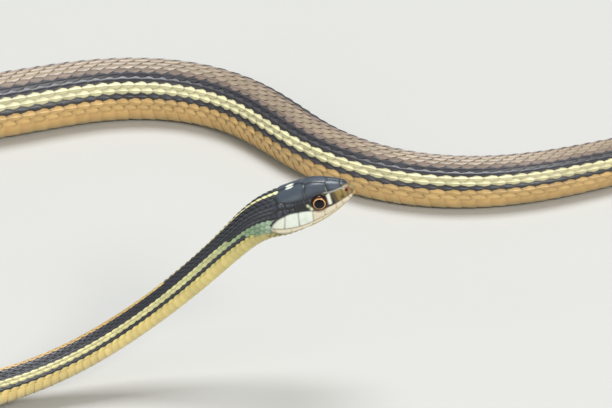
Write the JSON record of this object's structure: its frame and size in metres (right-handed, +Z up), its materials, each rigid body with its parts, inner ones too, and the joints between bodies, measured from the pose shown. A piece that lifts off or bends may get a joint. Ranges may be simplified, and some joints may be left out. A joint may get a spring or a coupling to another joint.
{
  "type": "garter snake",
  "caption": "Still, life-size model of a slender striped garter snake lying in wide bends on its belly with its head and neck raised.",
  "frame": {"origin": "on the floor the belly rests on, under the middle of the whole animal's box", "axes": "+Z up, +X towards the tail tip and along the longest side of the box, the raised head faces +X and a little -Y"},
  "size_m": [0.4713, 0.156, 0.0487],
  "materials": {
    "head_skin": "smooth glossy slate-black head plates, satin skin between them",
    "lip_skin": "cream and white lip and chin plates, satin",
    "eye_gloss": "wet-looking clear dome over a round black pupil and a gold to orange-brown iris",
    "body_skin": "keeled scales, charcoal with a tan back stripe, pale yellow side stripes and an orange-tan to cream lower flank and belly, satin"
  },
  "bodies": {
    "root": {"head": "head_skin", "lower_jaw": "lip_skin", "eye_left": "eye_gloss", "eye_right": "eye_gloss", "neck_1": "body_skin", "neck_2": "body_skin", "trunk_1": "body_skin", "trunk_2": "body_skin", "trunk_3": "body_skin", "trunk_4": "body_skin", "trunk_5": "body_skin", "trunk_6": "body_skin", "trunk_7": "body_skin", "tail_1": "body_skin", "tail_2": "body_skin", "tail_3": "body_skin"}
  },
  "joints": []
}
